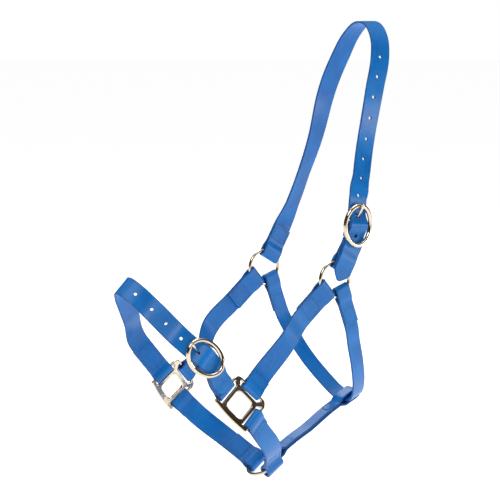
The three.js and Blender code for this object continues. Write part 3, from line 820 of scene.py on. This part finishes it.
def throat_strap():
    """One strip from ring to ring, with both its ends folded and sewn."""
    jaw = in_side(JAW_ANGLE)
    away, across, shift = in_side(-70), in_side(20), THROAT_SHIFT
    ends, runs, seams = [], [], []
    for side in (NEAR, FAR):
        ends.append(ring_end(ring_centre(side), away, across, OUT * side, NARROW, 44, shift=shift))
        places = ((-64, 64, -372), (-50, 53, -402), (-34, 34, -431), (THROAT_X - 0.2, 15, THROAT_Z + 0.4))
        runs.append([Station(Vector((x, side * y, z)), jaw) for x, y, z in places])
        bar = mix(ring_centre(side), (away, fold_reach(NARROW + 2 * shift)), (across, shift))
        name = SIDE_NAME[side] + "_throat_stitch"
        seams.append(Seam(bar, away, across, OUT * side, 25, 42, NARROW, "head_frame", [name]))
    middle = Station(Vector((THROAT_X, 0, THROAT_Z)), jaw)
    route = joined(ends[0], [*runs[0], middle, *reversed(runs[1])], ends[1], 56)
    strap("throat_strap", route, NARROW, "head_frame", seams)
    for side, seam in zip((NEAR, FAR), seams):
        sew(SIDE_NAME[side] + "_throat_seam", seam)


CHIN = Vector((CHIN_X, 0, CHIN_Z))
CHIN_SLOPE = in_side(CHIN_ANGLE)


def chin_strap(side):
    """From the square's chin slot straight to the chin ring."""
    name = SIDE_NAME[side] + "_chin_strap"
    square = square_frame(side)
    cheek, out = square["cheek"], square["out"]
    bar = mix(square["centre"], (square["nose"], -SQUARE_BAR))
    wire = mix(CHIN, (out, RING_RADIUS - 2.15))
    chord = (wire - bar).normalized()
    away = mix(chord, (out, 0.3)).normalized()
    across = squared_to(cheek, away)
    face = away.cross(across).normalized()
    face = -face if face.y * side < 0 else face
    bar = mix(bar, (away, -0.7))
    upper = folded_end(bar, away, across, face, BAR_FOLD + 0.25, 20, pocket=2.4)
    back = mix(-chord, (out, 0.3))
    back = mix(back, (CHIN_SLOPE, -0.4 * back.dot(CHIN_SLOPE))).normalized()
    slope = squared_to(CHIN_SLOPE, back)
    inner = back.cross(slope).normalized()
    inner = -inner if inner.y * side > 0 else inner
    loop = mix(wire, (back, -1.5), (inner, 0.2))
    lower = folded_end(loop, back, slope, inner, CHIN_FOLD, 38, pocket=4.5)
    seams = [
        Seam(loop, back, slope, inner, 16, 35, WIDE, "head_frame", [name + "_stitch"]),
        Seam(bar, away, across, face, 13, 19, WIDE, "head_frame", []),
    ]
    strap(name, joined(upper, [], lower, 12), WIDE, "head_frame", seams)
    sew(name + "_ring_seam", seams[0])
    sew(name + "_square_seam", seams[1])


def jaw_strap():
    """A doubled strip from the chin ring to a loop round the throat strap. Its two ends meet under it."""
    throat = Vector((THROAT_X, 0, THROAT_Z))
    jaw = in_side(JAW_ANGLE)
    away, under = in_side(CHIN_ANGLE - 3), in_side(CHIN_ANGLE - 93)
    below = in_side(JAW_ANGLE - 90)
    foot = ring_end(CHIN, away, OUT, under, NARROW, 30, radius=WIRE_FOLD + 0.9)
    bar = mix(throat, (jaw, NARROW / 2 - 2.2))
    head = folded_end(bar, -jaw, OUT, below, JAW_LOOP, 30, pocket=NARROW - 1)
    half = CHIN.lerp(throat, 0.5)
    first = joined(foot, [Station(mix(half, (below, -PLY)), OUT)], head, 8)
    butt = [Station(mix(foot[0].at, (away, by)), OUT) for by in (0.5, 3)]
    route = joined(first, [Station(mix(half, (below, PLY)), OUT)], butt, 8)
    wire = mix(CHIN, (away, fold_reach(NARROW)))
    seam = Seam(wire, away, OUT, under, 16, 28, NARROW, "jaw", ["jaw_strap_stitch"])
    upper = Seam(bar, -jaw, OUT, below, 31, 43, NARROW, "jaw", [])
    strap("jaw_strap", route, NARROW, "jaw", [seam, upper])
    sew("jaw_ring_seam", seam)
    sew("jaw_throat_seam", upper)


# ---------- buckles ----------

BILLET_TOP = 2.8  # height of the billet over the bar
BILLET_LOW = -4  # and under the frame's two ends
WRAP = BAR_RADIUS + 0.35 + THICK / 2
CHAPE_LOW = -6.85 - PLY_GAP
CHAPE_MIDDLE = CHAPE_LOW - PLY
ENGAGED_FROM_END = 17.5  # from the tongue's hole to the end of the billet's seat


def hump(y, top, low, half):
    """From low to top at 0 and back to low, smoothly, within half of 0."""
    return low if abs(y) >= half else low + (top - low) * (1 + math.cos(math.pi * y / half)) / 2


def buckle_at(centre, away, outward):
    """A buckle's own frame: x along its bar, y along the strap and z out of its face."""
    across = away.cross(outward).normalized()
    basis = Matrix((across, away, across.cross(away))).transposed().to_4x4()
    basis.translation = centre
    return basis


def chape_route(place, across, foot):
    """The chape: round the buckle's bar, down to the foot, round its bar and back behind itself."""
    back = CHAPE_LOW - 2 * PLY

    def seat(levels):
        return [Station(place @ Vector((0, y, z)), across) for y, z in levels]

    levels = [(-13.6, back), (-12, back)]
    levels += [(y, hump(y, -BAR_DROP - WRAP, back, 12)) for y in (-10, -8, -6, -4, -2)]
    turns = [math.pi * i / 8 for i in range(8, -1, -1)]
    levels += [(WRAP * math.sin(t), -BAR_DROP + WRAP * math.cos(t)) for t in turns]
    levels += [(y, hump(y, WRAP - BAR_DROP, CHAPE_LOW, 12)) for y in (-2, -4, -6, -8, -10)]
    levels += [(-12, CHAPE_LOW), (-13.6, CHAPE_LOW)]
    settled = foot["pocket"] + foot["settle"]
    top = seat(levels)
    front = joined(top, [], folded_end(**foot, tail=settled + 2), 8)
    run = framed(front)[len(top) + 1 : len(top) + 7]
    behind = [Station(mix(s.at, (face, -2 * PLY)), across) for s, _, across, face in reversed(run)]
    return [*front, *behind, *seat([(-17.2, back), (-14.1, back)])]


def billet_end(place, across, tip):
    """The billet from its tip through the buckle's frame."""
    ys = (-16, -15, -13, -10, -8, -6, -4, -2, 0, 2, 4, 6, 8, 10, 12, 15, 20, 27)
    seat = [Station(place @ Vector((0, y, hump(y, BILLET_TOP, BILLET_LOW, 15))), across) for y in ys]
    return joined(tip, [], seat[::-1], 6)


def billet_tip(foot, steps):
    """The billet's pointed tip over the foot. steps gives each place, lift and share of width."""
    return [
        Station(mix(foot["bar"], (foot["away"], out), (foot["tail_face"], -lift)), foot["across"], share)
        for out, lift, share in steps
    ]


def buckle_pieces(name, place, foot, across, bodies, seam):
    frame_body, tongue_body, strap_body = bodies
    buckle_frame_piece(name + "_buckle_frame", frame_body, place)
    tongue_piece(name + "_buckle_tongue", tongue_body, place)
    route = chape_route(place, across, foot)
    strap(name + "_chape", route, WIDE, strap_body, [seam], [tongue_slot(place)])
    sew(name + "_chape_seam", seam)


def billet(name, place, tip_end, far_end, through, steps, holes, body, seam):
    """The long strap from its far fold to its tip. holes counts them above and below the tongue's."""
    engaged = length_of(tip_end) - ENGAGED_FROM_END
    route = joined(far_end, through, tip_end, steps)[::-1]
    above, below = holes
    places = [station_at(route, engaged + i * HOLE_PITCH) for i in range(-below, above + 1) if i]
    tools = [tongue_room(place), *(punched(at, face) for at, face in places)]
    strap(name, route, WIDE, body, [seam], tools)
    sew(name + "_seam", seam)


def crown():
    away, across = in_side(60), in_side(-30)
    outward = -OUT
    ring = ring_centre(NEAR)
    centre = mix(ring, (X_AXIS, 26.5), (Vector((0, 0, 1)), 62), (outward, -CHAPE_MIDDLE))
    place = buckle_at(centre, in_side(85), outward)
    seat_across = in_side(-5)
    bar = mix(ring, (away, fold_reach(WIDE)))
    foot = {"bar": bar, "away": away, "across": across, "tail_face": OUT, "radius": WIRE_FOLD + 0.3}
    foot.update(pocket=ring_pocket(WIDE), settle=7)
    seam = Seam(bar, away, across, OUT, 19, 31, WIDE, "crown", ["crown_chape_stitch"])
    buckle_pieces("crown", place, foot, seat_across, ("crown_buckle", "crown_tongue", "crown"), seam)

    shape = [(-16, 6.9, 0.12), (-12, 6.9, 0.5), (-7.5, 6.9, 0.86)]
    shape += [(-3, 6.9, 1), (6, 6.9, 1), (13, 6.6, 1), (20, 5.3, 1)]
    far_end = ring_end(ring_centre(FAR), away, across, -OUT, WIDE, 38)
    over = [
        (-60, 66.5, -218, 14),
        (-50, 57, -180, 18),
        (-38, 50, -138, 10),
        (-23, 46.5, -80, -4),
        (-8, 38, -37, -8),
        (-1, 22, -9, -4),
        (0, 0, THICK / 2, 0),
        (-1, -22, -9, -2),
        (-8, -38, -37, -4),
        (-23, -46.5, -80, -2),
        (-39, -51, -140, 4),
        (-56, -65, -181, 8),
    ]
    through = []
    for x, y, z, yaw in over:
        yaw = math.radians(yaw)
        through.append(Station(Vector((x, y, z)), Vector((math.cos(yaw), math.sin(yaw), 0))))
    far_bar = mix(ring_centre(FAR), (away, fold_reach(WIDE)))
    far_seam = Seam(far_bar, away, across, -OUT, 20, 35, WIDE, "crown", ["crown_strap_stitch"])
    tip_end = billet_end(place, seat_across, billet_tip(foot, shape))
    billet("crown_strap", place, tip_end, far_end, through, 78, (8, 1), "crown", far_seam)


def nose_foot(side):
    """Where the noseband meets a square: its bar, away from it, across the strap and outwards."""
    square = square_frame(side)
    away = squared_to(Vector((-0.62, side * 0.03, 0.78)), square["cheek"])
    outward = away.cross(square["cheek"])
    outward = -outward if outward.y * side < 0 else outward
    bar = mix(square["centre"], (square["nose"], SQUARE_BAR))
    return bar, away, square["cheek"], outward


def noseband():
    bar, away, cheek, near_out = nose_foot(NEAR)
    axis = Vector((-0.734, 0.161, 0.66)).normalized()
    across = squared_to(UP_FACE, axis)
    outward = across.cross(axis)
    outward = -outward if outward.y > 0 else outward
    place = buckle_at(Vector((-278, -76, -367.4)), axis, outward)
    foot = {"bar": bar, "away": away, "across": cheek, "tail_face": -near_out, "radius": BAR_FOLD}
    foot.update(pocket=1, settle=8)
    seam = Seam(bar, away, cheek, -near_out, 13, 25, WIDE, "head_frame", ["noseband_chape_stitch"])
    buckle_pieces("noseband", place, foot, across, ("nose_buckle", "nose_tongue", "head_frame"), seam)

    far_bar, far_away, far_cheek, far_out = nose_foot(FAR)
    far_end = folded_end(far_bar, far_away, far_cheek, far_out, BAR_FOLD, 46)
    shape = [(4, 6.9, 0.4), (5, 6.9, 0.72), (7, 6.8, 0.92), (10, 6.4, 1), (15, 5.7, 1)]
    over = [
        (-304, 40.5, -333),
        (-318, 27.5, -315),
        (-331, 14, -298.5),
        (-337, 0, -291.5),
        (-331, -14, -298.5),
        (-318, -27.5, -315),
    ]
    through = [Station(Vector(p), UP_FACE) for p in over]
    names = ["noseband_strap_stitch"]
    far_seam = Seam(far_bar, far_away, far_cheek, far_out, 13, 43, WIDE, "head_frame", names)
    tip_end = billet_end(place, across, billet_tip(foot, shape))
    billet("noseband_strap", place, tip_end, far_end, through, 48, (4, 0), "head_frame", far_seam)


# ---------- materials ----------


class Shader:
    """A material and short ways to add nodes to it."""

    def __init__(self, name):
        self.material = bpy.data.materials.new(name)
        self.material.use_nodes = True
        self.tree = self.material.node_tree
        self.surface = self.tree.nodes["Principled BSDF"]

    def add(self, kind, inputs=(), **settings):
        node = self.tree.nodes.new("ShaderNode" + kind)
        for key, value in settings.items():
            setattr(node, key, value)
        self.fill(node, inputs)
        return node

    def fill(self, node, inputs):
        for key, value in dict(inputs).items():
            if isinstance(value, bpy.types.NodeSocket):
                self.tree.links.new(value, node.inputs[key])
            else:
                node.inputs[key].default_value = value

    def scaled(self, vector, scale):
        return self.add("Mapping", {"Vector": vector, "Scale": scale}).outputs[0]

    def noise(self, vector, scale, detail=3.0, roughness=0.55):
        inputs = {"Vector": vector, "Scale": scale, "Detail": detail, "Roughness": roughness}
        return self.add("TexNoise", inputs).outputs["Fac"]

    def ramp(self, value, low, high, to_low=0.0, to_high=1.0):
        inputs = {0: value, 1: low, 2: high, 3: to_low, 4: to_high}
        return self.add("MapRange", inputs, interpolation_type="SMOOTHSTEP").outputs[0]

    def math(self, operation, a, b=0.0):
        return self.add("Math", {0: a, 1: b}, operation=operation).outputs[0]

    def mix(self, factor, a, b):
        node = self.add("Mix", {0: factor, 6: a, 7: b}, data_type="RGBA")
        return node.outputs[2]

    def bump(self, height, distance, strength=1.0, normal=None):
        inputs = {"Height": height, "Distance": distance, "Strength": strength}
        if normal:
            inputs["Normal"] = normal
        return self.add("Bump", inputs).outputs[0]


def coated_strap():
    """Pigmented coated leather: semi-glossy, with fine grain, painted edges, wrinkles at its folds and a
    painted highlight that lightens the tight folds.
    """
    s = Shader("coated_strap")
    place = s.add("UVMap", uv_map="strap").outputs[0]
    rim = s.add("SeparateXYZ", {0: s.add("UVMap", uv_map="rim").outputs[0]})
    solid = s.add("TexCoord").outputs["Object"]
    patches = s.noise(solid, 24, 3)
    streaks = s.noise(s.scaled(place, (1, 0.06, 1)), 950, 4, 0.6)
    grain = s.add("TexVoronoi", {"Vector": solid, "Scale": 1500}, feature="SMOOTH_F1").outputs["Distance"]
    pores = s.noise(solid, 2600, 2)
    edge = s.ramp(rim.outputs["X"], 0.0004, 0.0013, 1.0, 0.0)
    # band along the edges for the rubbed wear and the painted edge highlight
    wear_and_highlight_band = s.ramp(rim.outputs["X"], 0.0006, 0.0019, 1.0, 0.0)
    wear_and_highlight = s.math("MULTIPLY", wear_and_highlight_band, s.ramp(s.noise(solid, 190, 5), 0.5, 0.72))
    bend = rim.outputs["Y"]
    colour = s.mix(s.ramp(patches, 0.35, 0.65), (0.0015, 0.122, 0.425, 1), (0.004, 0.165, 0.53, 1))
    colour = s.mix(s.math("MULTIPLY", s.ramp(streaks, 0.4, 0.72), 0.4), colour, (0.012, 0.22, 0.6, 1))
    # painted highlight: the strap turns a lighter blue where it bends tightly, as if lit across the fold
    colour = s.mix(s.math("MULTIPLY", bend, 0.22), colour, (0.01, 0.22, 0.66, 1))
    colour = s.mix(s.math("MULTIPLY", edge, 0.75), colour, (0.001, 0.04, 0.18, 1))
    # lighter blue patches along the edges: partly rubbed wear, partly a painted highlight on the strap's
    # edge
    colour = s.mix(s.math("MULTIPLY", wear_and_highlight, 0.4), colour, (0.03, 0.26, 0.6, 1))
    shine = s.math("ADD", s.ramp(patches, 0.3, 0.7, 0.24, 0.34), s.math("MULTIPLY", streaks, 0.2))
    rough = s.math("ADD", shine, s.math("MULTIPLY", edge, 0.15))
    waves = {"Vector": s.scaled(place, (0.35, 1, 1)), "Scale": 330, "Distortion": 5, "Detail": 3}
    wrinkles = s.add("TexWave", waves, bands_direction="Y")
    folds = s.math("MULTIPLY", wrinkles.outputs["Fac"], bend)
    normal = s.bump(patches, 0.0006, 0.5)
    normal = s.bump(streaks, 0.00005, 0.6, normal)
    normal = s.bump(folds, 0.00008, 0.7, normal)
    normal = s.bump(grain, 0.00006, 0.5, normal)
    normal = s.bump(pores, 0.00003, 0.4, normal)
    s.fill(s.surface, {"Base Color": colour, "Roughness": rough, "Normal": normal})
    s.fill(s.surface, {"Coat Weight": 0.15, "Coat Roughness": 0.2})
    s.fill(s.surface, {"IOR": 1.45, "Specular IOR Level": 0.35})
    return s.material


def sewing_thread():
    """Bonded thread, a little darker than the strap, with its twist."""
    s = Shader("sewing_thread")
    place = s.scaled(s.add("UVMap", uv_map="thread").outputs[0], (1.2, 2.4, 1))
    solid = s.add("TexCoord").outputs["Object"]
    waves = {"Vector": place, "Scale": 1.1, "Distortion": 0.4}
    twist = s.add("TexWave", waves, bands_direction="DIAGONAL")
    fuzz = s.noise(solid, 3800, 3)
    tone = s.noise(solid, 60, 2)
    colour = s.mix(tone, (0.002, 0.085, 0.33, 1), (0.004, 0.12, 0.42, 1))
    colour = s.mix(s.math("MULTIPLY", twist.outputs["Fac"], 0.45), colour, (0.012, 0.2, 0.55, 1))
    rough = s.ramp(fuzz, 0.2, 0.8, 0.5, 0.72)
    normal = s.bump(fuzz, 0.00003, 0.4, s.bump(twist.outputs["Fac"], 0.00012, 0.8))
    s.fill(s.surface, {"Base Color": colour, "Roughness": rough, "Normal": normal})
    s.fill(s.surface, {"Sheen Weight": 0.25, "Sheen Roughness": 0.4})
    return s.material


def plated(name, ripple, ripple_size):
    """Polished pale brass plating, with fine scratches, finger dullness and a little tarnish."""
    s = Shader(name)
    solid = s.add("TexCoord").outputs["Object"]
    cloud = s.noise(solid, 45, 4)
    scratch = s.noise(s.scaled(solid, (1, 0.15, 0.5)), 1800, 5, 0.7)
    cross = s.noise(s.scaled(solid, (0.2, 1, 0.6)), 2300, 4, 0.7)
    waves = s.noise(solid, ripple_size, 2)
    tarnish = s.math("MULTIPLY", s.ramp(cloud, 0.55, 0.8), 0.35)
    colour = s.mix(tarnish, (0.68, 0.585, 0.45, 1), (0.36, 0.25, 0.15, 1))
    colour = s.mix(s.ramp(scratch, 0.62, 0.8, 0.0, 0.25), colour, (0.8, 0.74, 0.64, 1))
    rough = s.math("ADD", s.ramp(cloud, 0.3, 0.75, 0.09, 0.2), s.ramp(cross, 0.55, 0.85, 0.0, 0.12))
    normal = s.bump(waves, ripple, 0.6)
    normal = s.bump(scratch, 0.00001, 0.35, normal)
    normal = s.bump(cross, 0.00001, 0.3, normal)
    s.fill(s.surface, {"Base Color": colour, "Roughness": rough, "Normal": normal, "Metallic": 1.0})
    return s.material


COATED = coated_strap()
THREAD = sewing_thread()
WIRE_METAL = plated("plated_wire", 0.00006, 260)
CAST_METAL = plated("plated_casting", 0.0002, 170)


# ---------- stage, in metres ----------

FLOOR_GAP = 0.06


def light(name, at, target, size, power):
    """A round soft lamp at a place, in metres, turned towards a target."""
    lamp = bpy.data.lights.new(name, "AREA")
    lamp.shape = "DISK"
    lamp.size = size
    lamp.energy = power
    obj = bpy.data.objects.new(name, lamp)
    obj.location = at
    obj.rotation_mode = "QUATERNION"
    obj.rotation_quaternion = (Vector(target) - Vector(at)).to_track_quat("-Z", "Y")
    bpy.context.scene.collection.objects.link(obj)


def studio():
    """Four soft lights, and a sky that is dark low down, pale above and white to the camera."""
    middle = (-0.167, 0, -0.27)
    light("key", (-1.9, -1.6, 1.6), middle, 1.1, 22)
    light("fill", (1.6, -2.0, -0.1), middle, 0.6, 9)
    light("back", (0.6, 2.2, 1.5), middle, 1.4, 18)
    light("top", (-0.1, 0.1, 2.3), middle, 1.6, 24)
    world = bpy.data.worlds.new("studio")
    bpy.context.scene.world = world
    world.use_nodes = True
    tree = world.node_tree
    sky = tree.nodes["Background"]
    place = tree.nodes.new("ShaderNodeTexCoord")
    split = tree.nodes.new("ShaderNodeSeparateXYZ")
    ramp = tree.nodes.new("ShaderNodeValToRGB")
    tree.links.new(place.outputs["Generated"], split.inputs[0])
    tree.links.new(split.outputs["Z"], ramp.inputs[0])
    ramp.color_ramp.elements[0].position = 0.55
    ramp.color_ramp.elements[0].color = (0.05, 0.036, 0.026, 1)
    ramp.color_ramp.elements[1].position = 0.9
    ramp.color_ramp.elements[1].color = (0.78, 0.79, 0.81, 1)
    seen = tree.nodes.new("ShaderNodeLightPath")
    choice = tree.nodes.new("ShaderNodeMix")
    choice.data_type = "RGBA"
    tree.links.new(seen.outputs["Is Camera Ray"], choice.inputs[0])
    tree.links.new(ramp.outputs[0], choice.inputs[6])
    choice.inputs[7].default_value = (1, 1, 1, 1)
    tree.links.new(choice.outputs[2], sky.inputs[0])
    sky.inputs[1].default_value = 1.0


def floor():
    """A wide pale disc below the hanging halter."""
    low = cad_box[0].z - FLOOR_GAP
    rings = []
    for radius in (0.01, 1.5, 6, 40):
        turns = [2 * math.pi * i / 64 for i in range(64)]
        rings.append([Vector((radius * math.cos(t), radius * math.sin(t), low)) / MM for t in turns])
    obj = object_of("floor", *loft(rings, caps=False))
    s = Shader("pale_floor")
    solid = s.add("TexCoord").outputs["Object"]
    grain = s.noise(solid, 3, 3)
    colour = s.mix(grain, (0.86, 0.86, 0.86, 1), (0.9, 0.9, 0.9, 1))
    s.fill(s.surface, {"Base Color": colour, "Roughness": 0.9})
    s.fill(s.surface, {"Emission Color": (1, 1, 1, 1), "Emission Strength": 0.66})
    obj.data.materials.append(s.material)
    obj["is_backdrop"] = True


def camera():
    """The photograph's view: from the near side, ahead of the nose and a little above."""
    target = Vector((-0.167, 0, -0.262))
    azimuth, elevation, distance = math.radians(-34), math.radians(6.5), 2.2
    level = math.cos(elevation)
    back = Vector((math.sin(azimuth) * level, -math.cos(azimuth) * level, math.sin(elevation)))
    lens = bpy.data.cameras.new("view")
    lens.sensor_width = 36
    lens.lens = 136.55
    lens.clip_start, lens.clip_end = 0.05, 100
    obj = bpy.data.objects.new("view", lens)
    obj.location = target + back * distance
    obj.rotation_mode = "QUATERNION"
    obj.rotation_quaternion = (-back).to_track_quat("-Z", "Y")
    bpy.context.scene.collection.objects.link(obj)
    bpy.context.scene.camera = obj


# ---------- the halter ----------

camera()
studio()
floor()
bpy.context.scene.view_settings.view_transform = "Standard"

for one_side in (NEAR, FAR):
    side_name = SIDE_NAME[one_side]
    ring_piece(side_name + "_upper_ring", side_name + "_ring", ring_centre(one_side), OUT)
    square_piece(one_side, "head_frame")
    cheek_strap(one_side)
    chin_strap(one_side)
ring_piece("chin_ring", "lead_ring", CHIN, in_side(CHIN_ANGLE - 90))
throat_strap()
jaw_strap()
crown()
noseband()

boxes = {"cad": cad_box, "visual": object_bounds()}
{key: [list(corner) for corner in box] for key, box in boxes.items()}
